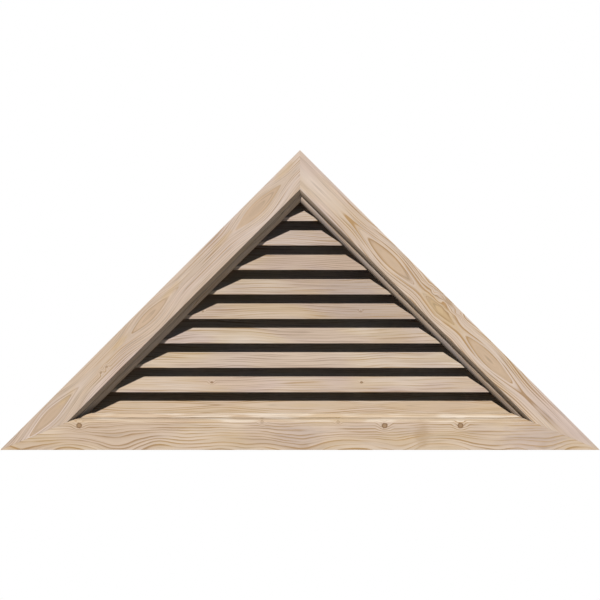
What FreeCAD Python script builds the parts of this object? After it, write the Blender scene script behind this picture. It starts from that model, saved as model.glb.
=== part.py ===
import FreeCAD, Part
import math
import os
import Sketcher

# Triangular louvred gable vent in pine, millimetres, +Z up, +Y into the wall, front towards -Y.
# The origin lies on the wall plane, at the middle of the back face of the bottom trim's flange.
# Three moulded trim boards are mitred at the corners and lie on the wall.
# Three jamb boards, mitred the same way, seat in a rebate in the trim's back and line the opening.
# Plumb-cut slats slope up into the wall and are housed in the two rake jambs.
# Wire cloth covers the back of the jambs and is held there by rows of staples.

SIZES = (
    ("overall_width", 1473.2, "across the two lower corners of the trim"),
    ("roof_pitch", 45, "slope of the rakes from level, degrees"),
    ("flat_width", 67.8, "flat face of the trim, square to its edge"),
    ("bevel_width", 9.4, "rounded bevel inside the flat face, seen from the front"),
    ("bevel_depth", 21.6, "depth of the bevel behind the flat face"),
    ("bevel_radius", 40, "rounding of the bevel"),
    ("quirk_width", 0.8, "narrow groove between the bevel and the bead"),
    ("quirk_depth", 1.2, "depth of that groove below the edge of the bead"),
    ("bead_width", 10.9, "bead inside the groove, seen from the front"),
    ("bead_depth", 13.7, "depth of the bead behind its own front edge"),
    ("bead_radius", 16.3, "rounding of the bead"),
    ("bead_land", 0.8, "square edge behind the bead"),
    ("seat_depth", 3.2, "rebate in the trim's back that takes the jamb"),
    ("jamb_thickness", 19.05, "jamb board"),
    ("slat_width", 88.9, "slat along its slope"),
    ("slat_thickness", 6.6, "slat square to its slope"),
    ("slat_angle", 45, "slope of the slats from level, degrees"),
    ("slat_pitch", 60.5, "from one slat to the next, before they are spaced evenly"),
    ("top_slat_room", 38, "from the top slat's nose up to the peak of the opening"),
    ("slat_setback", 4.8, "slat noses behind the front of the jambs"),
    ("slat_back_margin", 2.2, "back of the jambs behind the back of the slats"),
    ("housing_depth", 6, "slat ends let into the rake jambs"),
    ("screen_lap", 12, "wire cloth over the back edge of the jambs"),
    ("screen_thickness", 0.8, "wire cloth"),
    ("mesh_pitch", 52, "from one bar of the cloth to the next, before they are spaced evenly"),
    ("mesh_bar", 2.4, "width of a bar of the cloth"),
    ("staple_crown", 11, "staple across its crown"),
    ("staple_wire", 1.2, "width of the staple's wire"),
    ("staple_thickness", 0.6, "thickness of the staple's wire"),
    ("staple_leg", 8, "staple legs below the crown"),
    ("staple_pitch", 110, "from one staple to the next, before they are spaced evenly"),
)

# Worked out from the sizes above, as expressions that the features below are bound to.
BEVEL_END = "(Sizes.flat_width + Sizes.bevel_width)"
BEAD_START = f"({BEVEL_END} + Sizes.quirk_width)"
TRIM_WIDTH = f"({BEAD_START} + Sizes.bead_width)"
BEAD_FACE = "(Sizes.bevel_depth - Sizes.quirk_depth)"
BEAD_END = f"({BEAD_FACE} + Sizes.bead_depth)"
SEAT_LEVEL = f"({BEAD_END} + Sizes.bead_land)"
TRIM_THICKNESS = f"({SEAT_LEVEL} + Sizes.seat_depth)"
FLANGE_WIDTH = f"({TRIM_WIDTH} - Sizes.jamb_thickness)"
HALF_WIDTH = "(Sizes.overall_width / 2)"
RAKE_LENGTH = f"({HALF_WIDTH} / cos(Sizes.roof_pitch))"
HEIGHT = f"({HALF_WIDTH} * tan(Sizes.roof_pitch))"
BASE_Z = f"(-{FLANGE_WIDTH} / 2)"
SILL_Z = f"({BASE_Z} + {TRIM_WIDTH})"
PITCH_SPREAD = "(1 / tan(Sizes.roof_pitch) + 1 / sin(Sizes.roof_pitch))"
OPENING_HALF = f"({HALF_WIDTH} - {TRIM_WIDTH} * {PITCH_SPREAD})"
OPENING_HEIGHT = f"({OPENING_HALF} * tan(Sizes.roof_pitch))"
PEAK_Z = f"({SILL_Z} + {OPENING_HEIGHT})"
SLAT_RUN = "(Sizes.slat_width * cos(Sizes.slat_angle))"
SLAT_RISE = "(Sizes.slat_width * sin(Sizes.slat_angle))"
SLAT_NOSE = "(Sizes.slat_thickness / cos(Sizes.slat_angle))"
NOSE_Y = "(Sizes.slat_setback - Sizes.seat_depth)"
SLAT_FIELD = f"({OPENING_HEIGHT} - Sizes.top_slat_room)"
SLAT_SPACES = f"round({SLAT_FIELD} / Sizes.slat_pitch)"
SLAT_STEP = f"({SLAT_FIELD} / {SLAT_SPACES})"
MESH_SPACES = f"round({OPENING_HEIGHT} / Sizes.mesh_pitch)"
MESH_RISE = f"({OPENING_HEIGHT} / {MESH_SPACES})"
MESH_RUN = f"({OPENING_HALF} / {MESH_SPACES})"
JAMB_DEPTH = f"(Sizes.slat_setback + {SLAT_RUN} + Sizes.slat_back_margin)"
JAMB_BACK_Y = f"({JAMB_DEPTH} - Sizes.seat_depth)"
CLOTH_BACK_Y = f"({JAMB_BACK_Y} + Sizes.screen_thickness)"

# Staples go in halfway between the slats' housings and the edge of the cloth, clear of both.
STAPLE_INSET = "((Sizes.housing_depth + Sizes.screen_lap) / 2)"

# The three sides of the triangle, run anticlockwise as seen from the front. A board has its own frame
# along its side: X along the outer edge, Y into the wall and Z inwards across the board.
LOWER_MITRE = "(Sizes.roof_pitch / 2)"
APEX_MITRE = "(90 - Sizes.roof_pitch)"
RAKE_TURN = "180 - Sizes.roof_pitch"
SIDES = {
    "bottom": dict(x=f"-{HALF_WIDTH}", z=BASE_Z, axis=1, turn="0", length="Sizes.overall_width",
                   first=LOWER_MITRE, last=LOWER_MITRE),
    "right_rake": dict(x=HALF_WIDTH, z=BASE_Z, axis=-1, turn=RAKE_TURN, length=RAKE_LENGTH,
                       first=LOWER_MITRE, last=APEX_MITRE),
    "left_rake": dict(x="0", z=f"{BASE_Z} + {HEIGHT}", axis=1, turn=RAKE_TURN, length=RAKE_LENGTH,
                      first=APEX_MITRE, last=LOWER_MITRE),
}

doc = FreeCAD.newDocument("gable_vent")
sheet = doc.addObject("Spreadsheet::Sheet", "Sizes")
for row, (alias, value, note) in enumerate(SIZES, start=1):
    sheet.set(f"A{row}", note)
    sheet.set(f"B{row}", str(value))
    sheet.setAlias(f"B{row}", alias)
doc.recompute()


def worked(expression):
    """The present value of an expression over the sheet."""
    return float(sheet.evalExpression(expression))


def bind(sketch, constraint, expression):
    index = sketch.addConstraint(constraint)
    sketch.setExpression(f"Constraints[{index}]", expression)


def outline(body, name, role, *loops):
    """A sketch on one of the body's origin planes, with closed loops bound to the sheet.

    A loop is a list of corners (across, up). A third value is the radius of an arc from that corner
    to the next, which bulges to the right of the way along the loop; other sides are straight.
    """
    sketch = body.newObject("Sketcher::SketchObject", name)
    plane = next(item for item in body.Origin.OriginFeatures if item.Role == role)
    sketch.AttachmentSupport = [(plane, "")]
    sketch.MapMode = "FlatFace"
    for corners in loops:
        points = [FreeCAD.Vector(worked(corner[0]), worked(corner[1]), 0) for corner in corners]
        sides = []
        for index, corner in enumerate(corners):
            start = points[index]
            end = points[(index + 1) % len(points)]
            if len(corner) == 3:
                radius = worked(corner[2])
                chord = end - start
                bulge = radius - math.sqrt(radius ** 2 - chord.Length ** 2 / 4)
                outwards = FreeCAD.Vector(chord.y, -chord.x, 0).normalize()
                arc = sketch.addGeometry(Part.Arc(start, (start + end) / 2 + outwards * bulge, end))
                bind(sketch, Sketcher.Constraint("Radius", arc, radius), corner[2])
                sides.append(arc)
            else:
                sides.append(sketch.addGeometry(Part.LineSegment(start, end)))
        ends = [ordered_ends(sketch, side, start) for side, start in zip(sides, points)]
        for index, (across, up) in enumerate(corner[:2] for corner in corners):
            following = (index + 1) % len(sides)
            sketch.addConstraint(Sketcher.Constraint("Coincident", sides[index], ends[index][1],
                                                     sides[following], ends[following][0]))
            for kind, expression in (("DistanceX", across), ("DistanceY", up)):
                bind(sketch, Sketcher.Constraint(kind, -1, 1, sides[index], ends[index][0],
                                                 worked(expression)), expression)
    return sketch


def ordered_ends(sketch, side, start):
    """Point numbers of a side's two ends, the one at the start first."""
    gap = [sketch.getPoint(side, end).distanceToPoint(start) for end in (1, 2)]
    return (1, 2) if gap[0] < gap[1] else (2, 1)


def new_body(label, x="0", y="0", z="0"):
    body = doc.addObject("PartDesign::Body", label)
    body.Label = label
    for axis, expression in (("x", x), ("y", y), ("z", z)):
        body.setExpression(f"Placement.Base.{axis}", expression)
    return body


def pad(body, sketch, length, side_type="One side", reversed_way=False):
    feature = body.newObject("PartDesign::Pad", f"{body.Name}_pad")
    feature.Profile = sketch
    feature.SideType = side_type
    feature.Reversed = reversed_way
    feature.setExpression("Length", length)
    doc.recompute()
    return feature


def compound(label, items):
    group = doc.addObject("Part::Compound", label)
    group.Label = label
    group.Links = items
    return group


def side_body(label, side, front_y):
    """A body in the frame of one side of the triangle."""
    run = SIDES[side]
    body = new_body(label, run["x"], front_y, run["z"])
    body.Placement.Rotation = FreeCAD.Rotation(FreeCAD.Vector(0, run["axis"], 0), worked(run["turn"]))
    body.setExpression("Placement.Rotation.Angle", run["turn"])
    return body


def mitred_board(label, side, profile, front_y):
    """A board along one side of the triangle: its section padded to length, then mitred at both ends."""
    run = SIDES[side]
    body = side_body(label, side, front_y)
    stock = pad(body, outline(body, f"{label}_section", "YZ_Plane", profile), run["length"])
    reach = f"(2 * {TRIM_WIDTH})"
    first_waste = [("0", "0"),
                   (f"{reach} / tan({run['first']})", reach),
                   ("0", reach)]
    last_waste = [(run["length"], "0"),
                  (run["length"], reach),
                  (f"{run['length']} - {reach} / tan({run['last']})", reach)]
    mitres = body.newObject("PartDesign::Pocket", f"{label}_mitres")
    mitres.Profile = outline(body, f"{label}_mitre_lines", "XZ_Plane", first_waste, last_waste)
    mitres.Type = "ThroughAll"
    mitres.SideType = "Symmetric"
    doc.recompute()
    if mitres.Shape.Volume >= stock.Shape.Volume:
        raise RuntimeError(f"{label}: the mitre cuts miss the board")
    return body


def trim_board(label, side):
    """Flat face, rounded bevel, groove and bead inwards, and a rebate in the back for the jamb."""
    profile = [("0", "0"),
               (TRIM_THICKNESS, "0"),
               (TRIM_THICKNESS, FLANGE_WIDTH),
               (SEAT_LEVEL, FLANGE_WIDTH),
               (SEAT_LEVEL, TRIM_WIDTH),
               (BEAD_END, TRIM_WIDTH, "Sizes.bead_radius"),
               (BEAD_FACE, BEAD_START),
               ("Sizes.bevel_depth", BEAD_START),
               ("Sizes.bevel_depth", BEVEL_END, "Sizes.bevel_radius"),
               ("0", "Sizes.flat_width")]
    return mitred_board(label, side, profile, f"-{TRIM_THICKNESS}")


def jamb_board(label, side):
    """A plain board behind the trim, flush with the bead on its inner face."""
    profile = [("0", FLANGE_WIDTH),
               (JAMB_DEPTH, FLANGE_WIDTH),
               (JAMB_DEPTH, TRIM_WIDTH),
               ("0", TRIM_WIDTH)]
    return mitred_board(label, side, profile, "-Sizes.seat_depth")


def triangle(label, base_inset, rake_inset, front_y, depth):
    """A triangular prism inside the outer edges: its base and its rakes inset by the given widths."""
    base_loss = f"({base_inset}) / tan(Sizes.roof_pitch)"
    rake_loss = f"({rake_inset}) / sin(Sizes.roof_pitch)"
    half_base = f"({HALF_WIDTH} - {base_loss} - {rake_loss})"
    body = new_body(label, f"-{half_base}", front_y, f"{BASE_Z} + {base_inset}")
    corners = [("0", "0"),
               (f"2 * {half_base}", "0"),
               (half_base, f"{half_base} * tan(Sizes.roof_pitch)")]
    pad(body, outline(body, f"{label}_outline", "XZ_Plane", corners), depth, reversed_way=True)
    return body


def slat(label, steps_down, room):
    """A plumb-cut slat, its ends cut to the room between the bottoms of its two housings."""
    nose_z = f"{PEAK_Z} - Sizes.top_slat_room - {SLAT_NOSE} - {steps_down} * {SLAT_STEP}"
    stock = new_body(f"{label}_stock", y=NOSE_Y, z=nose_z)
    section = [("0", "0"),
               (SLAT_RUN, SLAT_RISE),
               (SLAT_RUN, f"{SLAT_RISE} + {SLAT_NOSE}"),
               ("0", SLAT_NOSE)]
    pad(stock, outline(stock, f"{label}_section", "YZ_Plane", section), "Sizes.overall_width", "Symmetric")
    cut = doc.addObject("Part::Common", label)
    cut.Label = label
    cut.Base = stock
    cut.Tool = room
    return cut


def cut_jamb(label, side, tools):
    """A jamb with a housing for each slat end that enters it and holes for its staples."""
    jamb = doc.addObject("Part::Cut", label)
    jamb.Label = label
    jamb.Base = jamb_board(f"{label}_board", side)
    jamb.Tool = compound(f"{label}_cuts", tools)
    return jamb


def staple(label, side, middle):
    """A staple driven through the cloth into the back of a jamb, its crown along the jamb."""
    body = side_body(label, side, CLOTH_BACK_Y)
    outer = [f"{middle} {sign} Sizes.staple_crown / 2" for sign in "-+"]
    inner = [f"{outer[0]} + Sizes.staple_thickness", f"{outer[1]} - Sizes.staple_thickness"]
    bend = [(outer[0], "-Sizes.staple_leg"),
            (inner[0], "-Sizes.staple_leg"),
            (inner[0], "0"),
            (inner[1], "0"),
            (inner[1], "-Sizes.staple_leg"),
            (outer[1], "-Sizes.staple_leg"),
            (outer[1], "Sizes.staple_thickness"),
            (outer[0], "Sizes.staple_thickness")]
    sketch = outline(body, f"{label}_bend", "XY_Plane", bend)
    sketch.setExpression("AttachmentOffset.Base.z", f"{TRIM_WIDTH} - {STAPLE_INSET}")
    pad(body, sketch, "Sizes.staple_wire", "Symmetric")
    return body


def staple_row(label, side):
    """Staples spaced evenly along the opening's edge, half a step in from its corners."""
    run = SIDES[side]
    start = f"({TRIM_WIDTH} / tan({run['first']}))"
    span = f"({run['length']} - {start} - {TRIM_WIDTH} / tan({run['last']}))"
    count = f"round({span} / Sizes.staple_pitch)"
    staples = [staple(f"{label}_{step + 1}", side, f"{start} + {step + 0.5} * {span} / {count}")
               for step in range(int(worked(count)))]
    return compound(label, staples)


def mesh_bar(label, x, z, length, height):
    bar = doc.addObject("Part::Box", label)
    for name, expression in (("Length", length), ("Width", "Sizes.screen_thickness"), ("Height", height),
                             ("Placement.Base.x", x), ("Placement.Base.y", JAMB_BACK_Y),
                             ("Placement.Base.z", z)):
        bar.setExpression(name, expression)
    return bar


def wire_cloth(label, staples):
    """A sheet stapled to the jambs' backs, open between its bars. The bars cross on the rakes."""
    inset = f"{TRIM_WIDTH} - Sizes.screen_lap"
    sheet_body = triangle(f"{label}_sheet", inset, inset, JAMB_BACK_Y, "Sizes.screen_thickness")
    field = triangle(f"{label}_field", TRIM_WIDTH, TRIM_WIDTH, JAMB_BACK_Y, "Sizes.screen_thickness")
    spaces = int(worked(MESH_SPACES))
    level_bars = [mesh_bar(f"level_bar_{step}", f"-{OPENING_HALF}",
                           f"{SILL_Z} + {step} * {MESH_RISE} - Sizes.mesh_bar / 2",
                           f"2 * {OPENING_HALF}", "Sizes.mesh_bar") for step in range(1, spaces)]
    upright_bars = [mesh_bar(f"upright_bar_{step}", f"{step - spaces} * {MESH_RUN} - Sizes.mesh_bar / 2",
                             SILL_Z, "Sizes.mesh_bar", OPENING_HEIGHT) for step in range(1, 2 * spaces)]
    bars = doc.addObject("Part::MultiFuse", f"{label}_bars")
    bars.Shapes = level_bars + upright_bars
    gaps = doc.addObject("Part::Cut", f"{label}_gaps")
    gaps.Base = field
    gaps.Tool = bars
    cloth = doc.addObject("Part::Cut", label)
    cloth.Label = label
    cloth.Base = sheet_body
    cloth.Tool = compound(f"{label}_holes", [gaps] + staples)
    return cloth


room = triangle("slat_room", TRIM_WIDTH, f"{TRIM_WIDTH} - Sizes.housing_depth", NOSE_Y, SLAT_RUN)
slat_total = 1 + int(worked(SLAT_SPACES))
slats = [slat(f"louvre_slat_{number}", number - 1, room) for number in range(1, slat_total + 1)]
sill_staples = staple_row("sill_staples", "bottom")
right_staples = staple_row("right_rake_staples", "right_rake")
left_staples = staple_row("left_rake_staples", "left_rake")

parts = [
    trim_board("bottom_trim", "bottom"),
    trim_board("right_rake_trim", "right_rake"),
    trim_board("left_rake_trim", "left_rake"),
    cut_jamb("sill_jamb", "bottom", [sill_staples]),
    cut_jamb("right_rake_jamb", "right_rake", slats + [right_staples]),
    cut_jamb("left_rake_jamb", "left_rake", slats + [left_staples]),
    wire_cloth("insect_screen", [sill_staples, right_staples, left_staples]),
    sill_staples,
    right_staples,
    left_staples,
] + slats
doc.recompute()

failed = [item.Label for item in doc.Objects if "Invalid" in item.State or "Error" in item.State]
if failed:
    raise RuntimeError(f"failed to compute: {failed}")
for part in parts:
    if part.Shape.isNull() or not part.Shape.isValid() or not part.Shape.Solids:
        raise RuntimeError(f"{part.Label}: no valid solid")

os.makedirs("parts", exist_ok=True)
for part in parts:
    part.Shape.exportStep(f"parts/{part.Label}.step")
    print(part.Label, len(part.Shape.Solids), round(part.Shape.Volume), part.Shape.BoundBox)
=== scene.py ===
"""Looks of the gable vent: bare pine boards, a wire-cloth screen with its staples, and a plain pale studio.

Units are metres, in the CAD frame: +X right, +Y into the wall, +Z up.
"""

import math
import random
from functools import partial

import bmesh
import bpy
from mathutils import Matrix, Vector


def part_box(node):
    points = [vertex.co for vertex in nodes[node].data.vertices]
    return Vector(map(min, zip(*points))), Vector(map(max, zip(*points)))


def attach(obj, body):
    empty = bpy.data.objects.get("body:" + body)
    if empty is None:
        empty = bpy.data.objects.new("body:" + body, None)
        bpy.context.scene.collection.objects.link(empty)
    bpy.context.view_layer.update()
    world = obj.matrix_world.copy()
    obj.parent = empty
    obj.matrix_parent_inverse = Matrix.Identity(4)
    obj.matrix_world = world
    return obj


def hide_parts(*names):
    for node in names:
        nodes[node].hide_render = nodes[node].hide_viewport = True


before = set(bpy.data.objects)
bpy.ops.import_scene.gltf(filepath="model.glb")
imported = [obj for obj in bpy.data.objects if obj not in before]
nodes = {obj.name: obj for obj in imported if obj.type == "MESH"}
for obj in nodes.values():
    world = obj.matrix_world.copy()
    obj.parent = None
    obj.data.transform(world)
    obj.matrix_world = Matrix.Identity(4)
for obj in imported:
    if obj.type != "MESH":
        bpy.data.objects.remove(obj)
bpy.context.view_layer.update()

rng = random.Random(29)

# Sizes read from the frame; the jambs' inner faces lie JAMB_INSET in from the trim's outer edge
trim_low, trim_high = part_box("bottom_trim")
screen_low, screen_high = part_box("insect_screen")
FRONT = trim_low.y
BASE = trim_low.z
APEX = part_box("left_rake_trim")[1].z
HALF_WIDTH = trim_high.x
HEIGHT = APEX - BASE
JAMB_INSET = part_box("sill_jamb")[1].z - BASE

# The photograph's frame: the vent's width fills 599.8 of its 600 pixels
PHOTO_PIXELS = 600
VENT_PIXELS = 599.8
PIXEL = 2 * HALF_WIDTH / VENT_PIXELS
CAMERA_DISTANCE = 5.79
SENSOR_WIDTH = 36.0

# Pine colours, linear
EARLY = (0.645, 0.500, 0.372, 1)
WARM = (0.600, 0.445, 0.298, 1)
ROSE = (0.588, 0.438, 0.342, 1)
TAN = (0.540, 0.376, 0.232, 1)
LATE = (0.410, 0.240, 0.100, 1)
LATE_GREY = (0.370, 0.245, 0.165, 1)
STAIN = (0.430, 0.290, 0.170, 1)
# The next tone is laid on the bottom moulding, partly as painted highlight
CREAM_AND_PAINTED_HIGHLIGHT = (0.775, 0.645, 0.515, 1)
GOLD = (0.575, 0.392, 0.196, 1)
# The next three tones are painted shade on the rakes' bevels and beads
RIGHT_BEAD_PAINTED_SHADE = (0.448, 0.364, 0.304, 1)
RIGHT_MOULDING_PAINTED_SHADE = (0.645, 0.455, 0.288, 1)
LEFT_BEAD_PAINTED_SHADE = (0.530, 0.397, 0.282, 1)
ASHEN = (0.500, 0.382, 0.318, 1)
KNOT = (0.330, 0.195, 0.095, 1)
KNOT_RIM = (0.190, 0.100, 0.045, 1)

# Wire colours, linear, and the noise that makes stretches brighter or duller
ZINC = (0.36, 0.37, 0.38, 1)
ZINC_DULL = (0.20, 0.205, 0.21, 1)
STEEL = (0.55, 0.55, 0.55, 1)
STEEL_DULL = (0.36, 0.36, 0.37, 1)
WIRE_WAVES = 90
WIRE_EDGES = (0.35, 0.65)
WIRE_ROUGH = 0.32
PATCH_ROUGH = 0.30
WIRE_METALLIC = 0.85
WIRE_BUMP = (0.2, 0.0002)

# Wire cloth of eight wires to the inch
MESH_PITCH = 0.003175
WIRE_SIDES = 6

# Light: the way that each lamp shines, its strength, its colour and its spread in degrees
WHITE = (1.0, 1.0, 1.0)
LAMPS = {
    "sun": ((0.31, 1.0, -0.79), 3.35, WHITE, 1.0),
    "low_fill": ((-0.60, 0.52, 0.77), 0.44, (1.12, 1.00, 0.80), 24),
    "back_fill": ((-0.25, -0.8, -0.3), 2.6, WHITE, 60),
}
FILL_LEVEL = 0.070
FILL_COLOUR = (0.73, 1.01, 1.36, 1)

# The floor: its middle, its radius, the radii between which it fades out, and its tone
FLOOR_PLACE = (0.3, 0.6, -0.95)
FLOOR_RADIUS = 2.4
FLOOR_SEGMENTS = 96
FLOOR_FADE = (1.2, 2.3)
FLOOR_TONE = 0.79
SPECK_TONE = 0.03
SPECK_WAVES = 40
FLOOR_ROUGH = 0.8

# Arrises: how far they are rounded, from which angle on, and the gap at which corners are joined first
ARRIS = 0.0005
ARRIS_SEGMENTS = 2
ARRIS_ANGLE = math.radians(32)
WELD_GAP = 0.00001

# The first seed of each kind of board, and how far one seed's noise lies from the next one's
TRIM_SEED = 1
JAMB_SEED = 11
SLAT_SEED = 20
SEED_STEP = 3.7

# Waves a metre of the noise in pine, along a board and across it
CURL_WAVES = (30, 60)
FADE_WAVES = (5, 16)
ROSE_WAVES = (4.5, 11)
GOLD_WAVES = (3.0, 9)
MOULDING_WAVES = (9, 45)
STAIN_WAVES = (50, 140)
KNOT_WAVES = (260, 260)
FIBRE_WAVES = (28, 1100)

# The same along the rings and across them, and back from the face
DRIFT_WAVES = (2.5, 70)
BAND_WAVES = (6, 160)
THREAD_WAVES = (10, 420)
PATCH_SPREAD = 30
STREAK_DEPTH = 30

# Values of that noise between which an effect sets in
RING_EDGES = (0.30, 0.64)
FADE_EDGES = (0.36, 0.60)
ROSE_EDGES = (0.42, 0.62)
GOLD_EDGES = (0.50, 0.66)
PATCH_EDGES = (0.36, 0.62)
MOULDING_EDGES = (0.44, 0.58)
THREAD_EDGES = (0.52, 0.74)

# Darkness through one ring, as (place, value) stops
RING_LINE = ((0.0, 0.40), (0.06, 0.0), (0.45, 0.03), (0.76, 0.30), (0.92, 1.0), (1.0, 0.40))

# Strength of the rings: the noise's step from ring to ring, its waves a metre along the board, and what is
# left of the faintest ring and of a faded stretch
RING_STEP = 5.3
RING_RUN = 9.0
FAINT_RING = 0.10
FADED_RING = 0.45

# What a metre of depth adds to the distance from the heart, the lowest ring in an eye, and what is left of
# the flame figure where it ends
RING_SLANT = 0.7
LEAST_RING = -0.9
FLAME_LEFT = 0.15

# Eyes, in half lengths along the board: where the heart has sunk below the face, how softly two eyes join,
# and between which distances lines and rose change
EYE_FOOT = 1.6
EYE_JOIN = 0.5
NEAR_EDGES = (0.9, 2.2)
FAR_EDGES = (1.4, 3.0)
EYE_ROSE_EDGES = (0.6, 2.6)

# How far the heart sinks, in sizes of the eye, the rose left in an eye, and the ring where its tan is full
EYE_SINK = 1.5
EYE_ROSE = 0.25
EYE_RIM = -0.30

# Knots, in radii: length over width, how far rings are pushed, the uneven edge, the core and the rim
KNOT_STRETCH = 1.1
KNOT_REACH = 3.6
KNOT_UNEVEN = 0.7
KNOT_CORE = (0.70, 1.20)
RIM_PLACE = 0.80
RIM_HALF = 0.35

# By how many rings a knot pushes them, and how strong its core and rim are
KNOT_PUSH = 1.6
CORE_DEPTH = 0.85
RIM_DEPTH = 0.75

# Curls and stains, in their own half sizes: where they fade out, and a stain's uneven edge
CURL_EDGES = (0.3, 1.3)
STAIN_EDGES = (0.3, 1.4)
STAIN_UNEVEN = 1.2

# Where the moulding and the bead begin behind the flat face, and the depth over which their tones set in;
# those tones are painted shade on the rakes and partly painted highlight on the bottom
MOULDING_BACK = 0.0003
BEAD_BACK = 0.0195
TONE_RUN = 0.0017

# Distances behind a slat's nose between which its painted light, a paler tone that evens it with its lit
# slope, fades out
NOSE_PAINTED_LIGHT_EDGES = (0.0004, 0.0014)

# Light and dark: the level without fibres, what fibres add, and the threads' share of the banding
FIBRE_BASE = 0.95
FIBRE_TONE = 0.18
THREAD_SHARE = 0.5

# Roughness of the pine, what fibres add to it and ring lines take off, and its specular level
PINE_ROUGH = 0.60
FIBRE_ROUGH = 0.16
LINE_SMOOTH = 0.08
PINE_SPECULAR = 0.16

# Relief: the shares of ring lines and fibres, and the bump's strength and distance
LINE_RELIEF = 0.35
FIBRE_RELIEF = 0.65
PINE_BUMP = (0.35, 0.0004)


class Tree:
    """A material's node tree, with a short call for each kind of node that the finishes use."""

    def __init__(self, name):
        self.material = bpy.data.materials.new(name)
        self.material.use_nodes = True
        self.nodes = self.material.node_tree.nodes
        self.links = self.material.node_tree.links
        self.shader = self.nodes["Principled BSDF"]

    def feed(self, socket, value):
        """Links a socket, or sets a plain value."""
        if isinstance(value, bpy.types.NodeSocket):
            self.links.new(value, socket)
        else:
            socket.default_value = value

    def place(self, turn=(0, 0, 0)):
        """The surface's place in the vent's frame, turned about the origin, as three sockets."""
        where = self.nodes.new("ShaderNodeTexCoord")
        mapping = self.nodes.new("ShaderNodeMapping")
        mapping.inputs["Rotation"].default_value = turn
        self.links.new(where.outputs["Object"], mapping.inputs["Vector"])
        split = self.nodes.new("ShaderNodeSeparateXYZ")
        self.links.new(mapping.outputs[0], split.inputs[0])
        return split.outputs

    def math(self, operation, *values):
        node = self.nodes.new("ShaderNodeMath")
        node.operation = operation
        for socket, value in zip(node.inputs, values):
            self.feed(socket, value)
        return node.outputs[0]

    def gap(self, first, second):
        """How far two values are apart."""
        return self.math("ABSOLUTE", self.math("SUBTRACT", first, second))

    def length(self, u, v):
        """Length of a step of u one way and v square to it."""
        return self.math("SQRT", self.math("ADD", self.math("MULTIPLY", u, u), self.math("MULTIPLY", v, v)))

    def vector(self, *values):
        node = self.nodes.new("ShaderNodeCombineXYZ")
        for socket, value in zip(node.inputs, values):
            self.feed(socket, value)
        return node.outputs[0]

    def span(self, value, low, high, start=0.0, end=1.0):
        """A smooth step from start to end as value goes from low to high."""
        node = self.nodes.new("ShaderNodeMapRange")
        node.interpolation_type = "SMOOTHSTEP"
        for socket, number in zip(node.inputs, (value, low, high, start, end)):
            self.feed(socket, number)
        return node.outputs[0]

    def noise(self, at, detail=2.0):
        node = self.nodes.new("ShaderNodeTexNoise")
        self.feed(node.inputs["Vector"], at)
        node.inputs["Scale"].default_value = 1.0
        node.inputs["Detail"].default_value = detail
        node.inputs["Roughness"].default_value = 0.5
        return node.outputs["Fac"]

    def mix(self, factor, first, second, blend="MIX"):
        node = self.nodes.new("ShaderNodeMix")
        node.data_type = "RGBA"
        node.blend_type = blend
        self.feed(node.inputs[0], factor)
        self.feed(node.inputs[6], first)
        self.feed(node.inputs[7], second)
        return node.outputs[2]

    def curve(self, factor, stops):
        """A grey value that runs through the given (place, value) stops."""
        node = self.nodes.new("ShaderNodeValToRGB")
        elements = node.color_ramp.elements
        while len(elements) < len(stops):
            elements.new(0.5)
        for element, (place, value) in zip(elements, stops):
            element.position = place
            element.color = (value, value, value, 1)
        self.feed(node.inputs[0], factor)
        return node.outputs[0]

    def bump(self, height, strength, distance):
        node = self.nodes.new("ShaderNodeBump")
        node.inputs["Strength"].default_value = strength
        node.inputs["Distance"].default_value = distance
        self.feed(node.inputs["Height"], height)
        self.links.new(node.outputs[0], self.shader.inputs["Normal"])


def trim_lay(tree, turn, edge):
    """Along a trim board, in from its outer edge, and back from its face."""
    x, y, z = tree.place((0, turn, 0))
    return x, tree.gap(z, edge), tree.math("SUBTRACT", y, FRONT)


def jamb_lay(tree, turn, edge):
    """Along a jamb, back along its wide face, and out from its inner face."""
    x, y, z = tree.place((0, turn, 0))
    return x, tree.math("SUBTRACT", y, FRONT), tree.gap(z, edge)


def slat_lay(tree, nose):
    """Along a slat, up its slope from the nose, and down from its upper face."""
    x, y, z = tree.place((-math.pi / 4, 0, 0))
    up = (nose.y + nose.z) * math.sqrt(0.5)
    out = (nose.z - nose.y) * math.sqrt(0.5)
    return x, tree.math("SUBTRACT", y, up), tree.gap(z, out)


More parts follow.
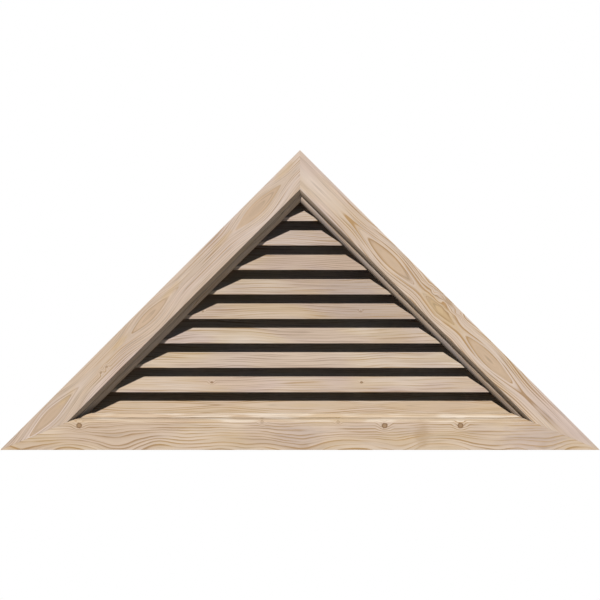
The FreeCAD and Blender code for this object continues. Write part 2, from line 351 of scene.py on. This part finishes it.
class Pine(Tree):
    """Flat-sawn pine: growth rings cut by the face, with eyes, knots, fibres and patches of colour.

    lay gives the surface's place on the board, and figure says how the board cuts the rings.
    """

    def __init__(self, name, lay, figure, seed):
        super().__init__(name)
        self.figure = figure
        self.shift = seed * SEED_STEP
        self.along, self.across, self.deep = lay(self)
        self.near = self.near_eyes()
        self.knots = []
        for along, across, radius, depth in figure["knots"]:
            away = self.away_from(along, across, KNOT_STRETCH * radius, radius)
            self.knots.append((away, depth))
        self.reach = self.ring_reach()
        rings = self.count_rings()
        inside = self.span(rings, EYE_RIM, 0.0, 1.0, 0.0)
        line = self.ring_lines(self.math("MAXIMUM", rings, LEAST_RING))
        fibre = self.cloud(FIBRE_WAVES, 3.0)
        self.paint(inside, line, fibre)
        self.surface(line, fibre)

    def cloud(self, waves, detail=2.0):
        """Noise with so many waves a metre along the board and across it."""
        run, spread = waves
        at = self.vector(self.math("MULTIPLY_ADD", self.along, run, self.shift),
                         self.math("MULTIPLY_ADD", self.across, spread, self.shift),
                         self.math("MULTIPLY", self.deep, spread))
        return self.noise(at, detail)

    def streaks(self, waves, detail=2.0):
        """Noise drawn out along the rings, which it follows round eyes."""
        run, spread = waves
        at = self.vector(self.math("MULTIPLY_ADD", self.along, run, self.shift),
                         self.math("MULTIPLY_ADD", self.reach, spread, self.shift),
                         self.math("MULTIPLY", self.deep, STREAK_DEPTH))
        return self.noise(at, detail)

    def swing(self, waves, size, detail=2.0):
        """A cloud, centred on nought and of a given size."""
        centred = self.math("SUBTRACT", self.cloud(waves, detail), 0.5)
        return self.math("MULTIPLY", centred, size)

    def away_from(self, along, across, run, spread):
        """Distance from a spot on the face, measured in lengths along and widths across."""
        du = self.math("DIVIDE", self.math("SUBTRACT", self.along, along), run)
        dv = self.math("DIVIDE", self.math("SUBTRACT", self.across, across), spread)
        return self.length(du, dv)

    def near_eyes(self):
        """Distance along the board from the nearest eye, in half lengths; None where there are no eyes."""
        near = None
        for middle, half_length, lift in self.figure["eyes"]:
            off = self.math("DIVIDE", self.gap(self.along, middle), half_length)
            off = self.math("ADD", off, lift)
            near = off if near is None else self.math("SMOOTH_MIN", near, off, EYE_JOIN)
        return near

    def ring_reach(self):
        """How far the surface lies from the heart of the rings, which comes up to the face in each eye."""
        figure = self.figure
        side = self.math("SUBTRACT", self.across, figure["heart"])
        wander = self.swing((figure["run"], figure["spread"]), figure["wander"], 3.0)
        side = self.math("ADD", side, wander)
        for along, across, run, spread, size in figure["curls"]:
            away = self.away_from(along, across, run, spread)
            fade = self.span(away, *CURL_EDGES, 1.0, 0.0)
            curl = self.math("MULTIPLY", self.swing(CURL_WAVES, size, 1.0), fade)
            side = self.math("ADD", side, curl)
        soft = figure["soft"]
        reach = self.math("SQRT", self.math("MULTIPLY_ADD", side, side, soft * soft))
        reach = self.math("SUBTRACT", reach, soft)
        flame = self.swing((figure["flame_run"], figure["flame_spread"]), figure["flame"], 1.5)
        fade = self.span(self.across, 0, figure["flame_width"], 1.0, FLAME_LEFT)
        reach = self.math("ADD", reach, self.math("MULTIPLY", flame, fade))
        if self.near is not None:
            sunk = self.span(self.near, 0, EYE_FOOT, 0, EYE_SINK * figure["eye"])
            reach = self.math("ADD", reach, sunk)
        return self.math("MULTIPLY_ADD", self.deep, RING_SLANT, reach)

    def count_rings(self):
        """Rings, counted from the edge of the eyes; their spacing drifts, and knots push them aside."""
        figure = self.figure
        rings = self.math("DIVIDE", self.math("SUBTRACT", self.reach, figure["eye"]), figure["ring"])
        drift = self.math("SUBTRACT", self.streaks(DRIFT_WAVES, 1.0), 0.5)
        rings = self.math("MULTIPLY_ADD", drift, figure["jitter"], rings)
        for away, _ in self.knots:
            rings = self.math("ADD", rings, self.span(away, 0, KNOT_REACH, KNOT_PUSH, 0))
        return rings

    def ring_lines(self, rings):
        """Each ring darkens slowly and ends at once; some rings are strong, others hardly show."""
        figure = self.figure
        line = self.curve(self.math("FRACT", rings), RING_LINE)
        at = self.vector(self.math("MULTIPLY", self.math("FLOOR", rings), RING_STEP),
                         self.math("MULTIPLY_ADD", self.along, RING_RUN, self.shift),
                         self.shift)
        strength = self.span(self.noise(at, 1.0), *RING_EDGES, FAINT_RING, 1.0)
        strength = self.math("MULTIPLY", strength, figure["contrast"])
        fade = self.span(self.cloud(FADE_WAVES, 1.0), *FADE_EDGES, FADED_RING, 1.0)
        strength = self.math("MULTIPLY", strength, fade)
        if self.near is not None:
            near_share = self.span(self.near, *NEAR_EDGES, figure["near_lines"], 1.0)
            far_share = self.span(self.near, *FAR_EDGES, 1.0, figure["far_lines"])
            strength = self.math("MULTIPLY", strength, near_share)
            strength = self.math("MULTIPLY", strength, far_share)
        return self.math("MULTIPLY", line, strength)

    def paint(self, inside, line, fibre):
        """Colour: slow patches, the tan of eyes, the moulding's painted shade and highlight, stains, the
        rings, light and dark, then knots.
        """
        figure = self.figure
        rosy = self.span(self.cloud(ROSE_WAVES, 1.0), *ROSE_EDGES, 0.0, figure["rose"])
        if self.near is not None:
            rosy = self.math("MULTIPLY", rosy, self.span(self.near, *EYE_ROSE_EDGES, EYE_ROSE, 1.0))
        warm = self.span(self.streaks((figure["patch_run"], PATCH_SPREAD)), *PATCH_EDGES)
        colour = self.mix(warm, EARLY, WARM)
        colour = self.mix(rosy, colour, ROSE)
        if figure["gold"]:
            golden = self.span(self.cloud(GOLD_WAVES, 1.0), *GOLD_EDGES, 0.0, figure["gold"])
            colour = self.mix(golden, colour, GOLD)
        colour = self.mix(self.math("MULTIPLY", inside, figure["eye_tan"]), colour, TAN)
        # Tones on the moulding, set in by depth: painted shade on the rakes, partly painted highlight on the
        # bottom
        for tone, amount, evenness, start in figure["moulding"]:
            patch = self.span(self.cloud(MOULDING_WAVES, 0.5), *MOULDING_EDGES, evenness, 1.0)
            moulding_painted_light = self.span(self.deep, start, start + TONE_RUN, 0.0, amount)
            colour = self.mix(self.math("MULTIPLY", moulding_painted_light, patch), colour, tone)
        for along, across, run, spread, depth, tone in figure["stains"]:
            away = self.away_from(along, across, run, spread)
            away = self.math("ADD", away, self.swing(STAIN_WAVES, STAIN_UNEVEN))
            colour = self.mix(self.span(away, *STAIN_EDGES, depth, 0.0), colour, tone)
        late = self.mix(rosy, LATE, LATE_GREY)
        colour = self.mix(self.math("MINIMUM", line, 1.0), colour, late)
        shade = self.shade(fibre)
        colour = self.mix(1.0, colour, self.vector(shade, shade, shade), "MULTIPLY")
        for away, depth in self.knots:
            away = self.math("ADD", away, self.swing(KNOT_WAVES, KNOT_UNEVEN))
            core = self.span(away, *KNOT_CORE, CORE_DEPTH * depth, 0.0)
            colour = self.mix(core, colour, KNOT)
            rim = self.span(self.gap(away, RIM_PLACE), 0.0, RIM_HALF, RIM_DEPTH * depth, 0.0)
            colour = self.mix(rim, colour, KNOT_RIM)
        colour = self.mix(1.0, colour, (*figure["tint"], 1), "MULTIPLY")
        self.feed(self.shader.inputs["Base Color"], colour)

    def shade(self, fibre):
        """Light and dark of the fibres, bands and threads, with a slat's nose painted a little paler:
        painted light that evens it with its lit slope.
        """
        banding = self.figure["banding"]
        nose = self.figure["nose"]
        band = self.math("SUBTRACT", self.streaks(BAND_WAVES, 3.0), 0.5)
        thread = self.span(self.streaks(THREAD_WAVES), *THREAD_EDGES)
        shade = self.math("MULTIPLY_ADD", fibre, FIBRE_TONE, FIBRE_BASE)
        shade = self.math("MULTIPLY_ADD", band, banding, shade)
        shade = self.math("SUBTRACT", shade, self.math("MULTIPLY", thread, THREAD_SHARE * banding))
        # Painted light: a slat's nose is made paler, to even it with its brighter lit slope
        if nose:
            behind = self.math("SUBTRACT", self.across, self.deep)
            shade = self.math("ADD", shade, self.span(behind, *NOSE_PAINTED_LIGHT_EDGES, nose, 0.0))
        return shade

    def surface(self, line, fibre):
        """Roughness and relief from the fibres and the rings."""
        rough = self.math("MULTIPLY_ADD", fibre, FIBRE_ROUGH, PINE_ROUGH)
        rough = self.math("SUBTRACT", rough, self.math("MULTIPLY", line, LINE_SMOOTH))
        self.feed(self.shader.inputs["Roughness"], rough)
        self.shader.inputs["Specular IOR Level"].default_value = PINE_SPECULAR
        relief = self.math("ADD", self.math("MULTIPLY", line, LINE_RELIEF),
                           self.math("MULTIPLY", fibre, FIBRE_RELIEF))
        self.bump(relief, *PINE_BUMP)


def wire_finish(name, bright, dull):
    """Galvanised wire, with brighter and duller stretches."""
    tree = Tree(name)
    at = tree.vector(*[tree.math("MULTIPLY", part, WIRE_WAVES) for part in tree.place()])
    patch = tree.noise(at, 3.0)
    tree.feed(tree.shader.inputs["Base Color"], tree.mix(tree.span(patch, *WIRE_EDGES), dull, bright))
    rough = tree.math("MULTIPLY_ADD", patch, PATCH_ROUGH, WIRE_ROUGH)
    tree.feed(tree.shader.inputs["Roughness"], rough)
    tree.shader.inputs["Metallic"].default_value = WIRE_METALLIC
    tree.bump(patch, *WIRE_BUMP)
    return tree.material


def give_material(node, material):
    """Gives a CAD node its one material."""
    materials = nodes[node].data.materials
    materials.clear()
    materials.append(material)


def finish_board(node, pine):
    """Gives a board its pine, joins the corners that its CAD faces keep apart, and rounds its arrises."""
    give_material(node, pine.material)
    board = nodes[node]
    weld = board.modifiers.new("weld", "WELD")
    weld.merge_threshold = WELD_GAP
    bevel = board.modifiers.new("arris", "BEVEL")
    bevel.width = ARRIS
    bevel.segments = ARRIS_SEGMENTS
    bevel.limit_method = "ANGLE"
    bevel.angle_limit = ARRIS_ANGLE


# The rakes' outer edge once they are turned level, and where the pixels along each board count from
EIGHTH_TURN = math.pi / 4
RAKE_EDGE = APEX * math.sqrt(0.5)
LEFT_START = (BASE - HALF_WIDTH) * math.sqrt(0.5)
RIGHT_START = -RAKE_EDGE
LEVEL_START = -HALF_WIDTH


def eye(start, place, half_length, lift=0.0):
    """An eye from photo pixels along a board; lift makes it smaller."""
    return start + place * PIXEL, half_length * PIXEL, lift


def knot(start, place, across, radius, depth):
    """A knot from photo pixels along a board and in from its edge."""
    return start + place * PIXEL, across * PIXEL, radius * PIXEL, depth


def spot(start, place, across, run, spread, *rest):
    """A stain or curl from photo pixels along a board and in from its edge, with its half sizes."""
    return start + place * PIXEL, across * PIXEL, run * PIXEL, spread * PIXEL, *rest


# How the rings are cut by each board: metres on the board, or waves a metre
PLAIN_FIGURE = {
    "heart": 0.03, "soft": 0.003, "wander": 0.012, "run": 2.2, "spread": 9.0,
    "flame": 0.012, "flame_run": 2.0, "flame_spread": 8.0, "flame_width": 0.2,
    "eyes": (), "eye": 0.0, "eye_tan": 0.0, "near_lines": 1.0, "far_lines": 1.0, "curls": (),
    "ring": 0.0055, "jitter": 2.0, "contrast": 1.2, "banding": 0.25, "patch_run": 3.0,
    "rose": 0.6, "gold": 0.0, "moulding": (), "nose": 0.0, "knots": (), "stains": (),
    "tint": (1.0, 1.0, 1.0),
}
LEFT_FIGURE = dict(
    PLAIN_FIGURE, heart=11 * PIXEL, wander=0.007, flame=0.006,
    ring=2.1 * PIXEL, contrast=2.2, banding=0.48,
    eyes=[eye(LEFT_START, place, 31) for place in (61, 200, 353)],
    eye=4.6 * PIXEL, eye_tan=1.0, near_lines=0.45,
    stains=[spot(LEFT_START, place, across, 15, 3, 0.55, GOLD)
            for place, across in ((84, 10), (160, 9), (232, 8), (304, 9), (398, 4))],
    knots=[knot(LEFT_START, place, 16.5, 1.2, 0.5) for place in (126, 134)],
    # The bead's darker tone is painted shade, standing in for the shadow that the rake casts on it
    moulding=[(LEFT_BEAD_PAINTED_SHADE, 0.90, 1.0, BEAD_BACK)],
    tint=(1.085, 1.125, 1.265),
)
RIGHT_FIGURE = dict(
    PLAIN_FIGURE, heart=14.5 * PIXEL, soft=0.008, wander=0.009, flame=0.008,
    ring=2.3 * PIXEL, contrast=3.4, banding=0.50, rose=0.75,
    eyes=[eye(RIGHT_START, 143, 35), eye(RIGHT_START, 212, 44, 0.5), eye(RIGHT_START, 281, 34)],
    eye=3.5 * PIXEL, eye_tan=1.0, far_lines=0.12,
    curls=[spot(RIGHT_START, 214, 5, 36, 8, 0.028)],
    stains=[
        spot(RIGHT_START, 212, 2, 6, 3, 0.7, STAIN),
        spot(RIGHT_START, 212, 14.5, 30, 7, 0.8, GOLD),
    ],
    # The warm tone on the moulding and the darker tone on its bead are painted shade
    moulding=[(RIGHT_MOULDING_PAINTED_SHADE, 0.95, 1.0, MOULDING_BACK), (RIGHT_BEAD_PAINTED_SHADE, 0.85, 0.5, BEAD_BACK)],
    tint=(1.12, 1.165, 1.285),
)
BOTTOM_FIGURE = dict(
    PLAIN_FIGURE, heart=-6 * PIXEL, soft=0.03, wander=0.012, run=9.0, spread=14.0,
    flame=0.085, flame_run=4.2, flame_spread=3.0, flame_width=26 * PIXEL,
    ring=2.6 * PIXEL, contrast=2.2, banding=0.32, rose=0.5,
    knots=[knot(LEVEL_START, place, 24.4, 2.7, 1.0) for place in (79, 384.6, 460.4)]
    + [knot(LEVEL_START, place, 28.0, 1.5, 0.35) for place in (262, 338)],
    stains=[
        spot(LEVEL_START, 422, 15, 8, 13, 0.55, STAIN),
        spot(LEVEL_START, 304, 4, 5, 4, 0.55, STAIN),
        spot(LEVEL_START, 543, 5, 5, 4, 0.45, STAIN),
        spot(LEVEL_START, 297, 14, 24, 14, 0.55, ASHEN),
        spot(LEVEL_START, 535, 12, 34, 18, 0.70, ASHEN),
    ],
    # Gold and cream on the moulding: partly the wood's paler patches, partly painted highlight where it
    # faces the sun
    moulding=[(GOLD, 0.45, 0.6, MOULDING_BACK), (CREAM_AND_PAINTED_HIGHLIGHT, 0.80, 0.1, MOULDING_BACK)],
    tint=(1.10, 1.12, 1.14),
)

# Each trim board's turn to level, its outer edge then, and its figure
TRIM_BOARDS = {
    "left_rake": (EIGHTH_TURN, RAKE_EDGE, LEFT_FIGURE),
    "right_rake": (-EIGHTH_TURN, RAKE_EDGE, RIGHT_FIGURE),
    "bottom": (0, BASE, BOTTOM_FIGURE),
}
for index, (board, (turn, edge, figure)) in enumerate(TRIM_BOARDS.items()):
    lay = partial(trim_lay, turn=turn, edge=edge)
    finish_board(f"{board}_trim", Pine(f"{board}_pine", lay, figure, TRIM_SEED + index))

# Each jamb's turn to level, and its inner face then
JAMBS = {
    "sill_jamb": (0, BASE + JAMB_INSET),
    "left_rake_jamb": (EIGHTH_TURN, RAKE_EDGE - JAMB_INSET),
    "right_rake_jamb": (-EIGHTH_TURN, RAKE_EDGE - JAMB_INSET),
}
for index, (node, (turn, edge)) in enumerate(JAMBS.items()):
    lay = partial(jamb_lay, turn=turn, edge=edge)
    figure = dict(PLAIN_FIGURE, heart=rng.uniform(-0.02, 0.12))
    finish_board(node, Pine(f"{node}_pine", lay, figure, JAMB_SEED + index))


# A slat's stain: its middle up the slope from the nose, and its half width, which covers the seen part
SLAT_STAIN_PLACE = 0.02
SLAT_STAIN_SPREAD = 0.06


def slat_stain(place, run, depth, tone):
    """A stain over the seen part of a slat, from photo pixels along it."""
    return LEVEL_START + place * PIXEL, SLAT_STAIN_PLACE, run * PIXEL, SLAT_STAIN_SPREAD, depth, tone


def slat_knot(place, across, radius, depth):
    """A knot from photo pixels along a slat, and metres up its slope from the nose."""
    return LEVEL_START + place * PIXEL, across, radius * PIXEL, depth


# The slats' tints in the order of their names, their common level, which is painted shade that darkens the
# slopes against the paler noses, and what single slats have of their own
SLAT_LEVEL_WITH_PAINTED_SHADE = 0.94
SLAT_TINTS = (
    (0.95, 0.98, 1.06), (0.90, 0.93, 1.05), (0.95, 0.98, 1.04), (0.93, 0.96, 1.00), (0.93, 0.94, 0.95),
    (1.02, 1.08, 1.16), (1.02, 1.08, 1.16), (1.01, 1.04, 1.10), (1.02, 1.03, 1.04),
)
SLAT_EXTRAS = {
    "louvre_slat_4": {"stains": [slat_stain(352, 32, 0.65, ASHEN)]},
    "louvre_slat_5": {
        "stains": [slat_stain(372, 50, 0.60, ASHEN)],
        "knots": [slat_knot(place, 0.0195, 1.1, 0.6) for place in (202, 361)],
    },
    "louvre_slat_6": {"stains": [slat_stain(392, 24, 0.65, TAN)]},
    "louvre_slat_8": {"knots": [slat_knot(place, 0.0274, 1.4, 1.0) for place in (211, 362)]},
    "louvre_slat_9": {
        "heart": 0.025, "soft": 0.003, "flame": 0.006, "ring": 0.0055, "contrast": 2.8,
        "eyes": [eye(LEVEL_START, place, 74) for place in (151, 298, 445)],
        "eye": 0.0125, "eye_tan": 0.3,
    },
}
for index, tint in enumerate(SLAT_TINTS):
    node = f"louvre_slat_{index + 1}"
    lay = partial(slat_lay, nose=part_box(node)[0])
    figure = dict(
        PLAIN_FIGURE, heart=rng.uniform(-0.03, 0.0), ring=rng.uniform(0.005, 0.009),
        soft=rng.uniform(0.005, 0.012), flame=rng.uniform(0.035, 0.065), flame_run=3.2, flame_spread=6.0,
        # nose is painted light: a paler nose that evens it with its lit slope
        contrast=rng.uniform(1.3, 2.1), patch_run=5.0, rose=1.0, gold=0.28, nose=0.10,
        tint=[SLAT_LEVEL_WITH_PAINTED_SHADE * part for part in tint],
    )
    figure.update(SLAT_EXTRAS.get(node, {}))
    finish_board(node, Pine(f"{node}_pine", lay, figure, SLAT_SEED + index))

staple_steel = wire_finish("staple_steel", STEEL, STEEL_DULL)
for row in ("sill_staples", "left_rake_staples", "right_rake_staples"):
    give_material(row, staple_steel)


def add_wire_cloth():
    """Straight galvanised wires in two crossed layers, cut to the triangle of the CAD screen."""
    wire_radius = (screen_high.y - screen_low.y) / 4
    half_base = screen_high.x
    rise = screen_high.z - screen_low.z
    verts = []
    faces = []

    def add_wire(start, end, side, up):
        """A six-sided wire between two points; side and up are square to it."""
        first = len(verts)
        last = first + WIRE_SIDES
        for centre in (start, end):
            for corner in range(WIRE_SIDES):
                turn = 2 * math.pi * corner / WIRE_SIDES
                verts.append(centre + (side * math.cos(turn) + up * math.sin(turn)) * wire_radius)
        for corner in range(WIRE_SIDES):
            following = (corner + 1) % WIRE_SIDES
            faces.append((first + corner, first + following, last + following, last + corner))
        faces.append(tuple(first + corner for corner in reversed(range(WIRE_SIDES))))
        faces.append(tuple(last + corner for corner in range(WIRE_SIDES)))

    right, back, up = Vector((1, 0, 0)), Vector((0, 1, 0)), Vector((0, 0, 1))
    front_layer = screen_low.y + wire_radius
    back_layer = screen_high.y - wire_radius
    for step in range(int(rise / MESH_PITCH)):
        height = (step + 0.5) * MESH_PITCH
        reach = half_base * (1 - height / rise)
        level = screen_low.z + height
        add_wire(Vector((-reach, front_layer, level)), Vector((reach, front_layer, level)), back, up)
    uprights = int(half_base / MESH_PITCH)
    for step in range(1 - uprights, uprights):
        x = step * MESH_PITCH
        top = screen_low.z + rise * (1 - abs(x) / half_base)
        add_wire(Vector((x, back_layer, screen_low.z)), Vector((x, back_layer, top)), right, back)

    mesh = bpy.data.meshes.new("wire_cloth")
    mesh.from_pydata(verts, [], faces)
    mesh.shade_smooth()
    mesh.materials.append(wire_finish("zinc_wire", ZINC, ZINC_DULL))
    cloth = bpy.data.objects.new("wire_cloth", mesh)
    bpy.context.scene.collection.objects.link(cloth)
    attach(cloth, "root")
    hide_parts("insect_screen")


def add_floor():
    """A pale floor well below the vent; it casts no shadow, so that the low fill reaches the vent."""
    mesh = bpy.data.meshes.new("floor")
    disc = bmesh.new()
    bmesh.ops.create_circle(disc, cap_ends=True, segments=FLOOR_SEGMENTS, radius=FLOOR_RADIUS)
    disc.to_mesh(mesh)
    disc.free()
    floor = bpy.data.objects.new("floor", mesh)
    floor.location = FLOOR_PLACE
    floor.visible_shadow = False
    bpy.context.scene.collection.objects.link(floor)
    tree = Tree("floor_pale")
    x, y, _ = tree.place()
    at = tree.vector(tree.math("MULTIPLY", x, SPECK_WAVES), tree.math("MULTIPLY", y, SPECK_WAVES), 0.0)
    shade = tree.math("MULTIPLY_ADD", tree.noise(at, 4.0), SPECK_TONE, FLOOR_TONE)
    tree.feed(tree.shader.inputs["Base Color"], tree.vector(shade, shade, shade))
    tree.feed(tree.shader.inputs["Alpha"], tree.span(tree.length(x, y), *FLOOR_FADE, 1.0, 0.0))
    tree.shader.inputs["Roughness"].default_value = FLOOR_ROUGH
    mesh.materials.append(tree.material)


def add_world():
    """An even, weak fill; the camera, mirror and glass rays see plain white instead."""
    world = bpy.data.worlds.new("studio")
    bpy.context.scene.world = world
    world.use_nodes = True
    tree = world.node_tree
    fill = tree.nodes["Background"]
    fill.inputs["Color"].default_value = FILL_COLOUR
    fill.inputs["Strength"].default_value = FILL_LEVEL
    white = tree.nodes.new("ShaderNodeBackground")
    white.inputs["Color"].default_value = (*WHITE, 1)
    white.inputs["Strength"].default_value = 1.0
    path = tree.nodes.new("ShaderNodeLightPath")
    seen = path.outputs["Is Camera Ray"]
    for ray in ("Is Glossy Ray", "Is Transmission Ray"):
        either = tree.nodes.new("ShaderNodeMath")
        either.operation = "MAXIMUM"
        tree.links.new(seen, either.inputs[0])
        tree.links.new(path.outputs[ray], either.inputs[1])
        seen = either.outputs[0]
    blend = tree.nodes.new("ShaderNodeMixShader")
    tree.links.new(seen, blend.inputs[0])
    tree.links.new(fill.outputs[0], blend.inputs[1])
    tree.links.new(white.outputs[0], blend.inputs[2])
    tree.links.new(blend.outputs[0], tree.nodes["World Output"].inputs["Surface"])


def add_lamp(name, way, level, colour, spread):
    """A distant lamp that shines along way; surfaces don't pass its light on."""
    lamp = bpy.data.lights.new(name, "SUN")
    lamp.energy = level
    lamp.color = colour
    lamp.angle = math.radians(spread)
    lamp.cycles.max_bounces = 0
    holder = bpy.data.objects.new(name, lamp)
    holder.rotation_euler = Vector(way).to_track_quat("-Z", "Y").to_euler()
    bpy.context.scene.collection.objects.link(holder)


def add_camera():
    """The photograph's view: straight in front, level, at half the vent's height."""
    camera_data = bpy.data.cameras.new("camera")
    camera = bpy.data.objects.new("camera", camera_data)
    half_frame = PIXEL * PHOTO_PIXELS / 2
    camera_data.sensor_width = SENSOR_WIDTH
    camera_data.lens = SENSOR_WIDTH / 2 * CAMERA_DISTANCE / half_frame
    camera.location = (0, FRONT - CAMERA_DISTANCE, BASE + HEIGHT / 2)
    camera.rotation_euler = (math.pi / 2, 0, 0)
    bpy.context.scene.collection.objects.link(camera)
    bpy.context.scene.camera = camera


add_wire_cloth()
bpy.context.scene.view_settings.view_transform = "Standard"
add_floor()
add_world()
for name, (way, level, colour, spread) in LAMPS.items():
    add_lamp(name, way, level, colour, spread)
add_camera()
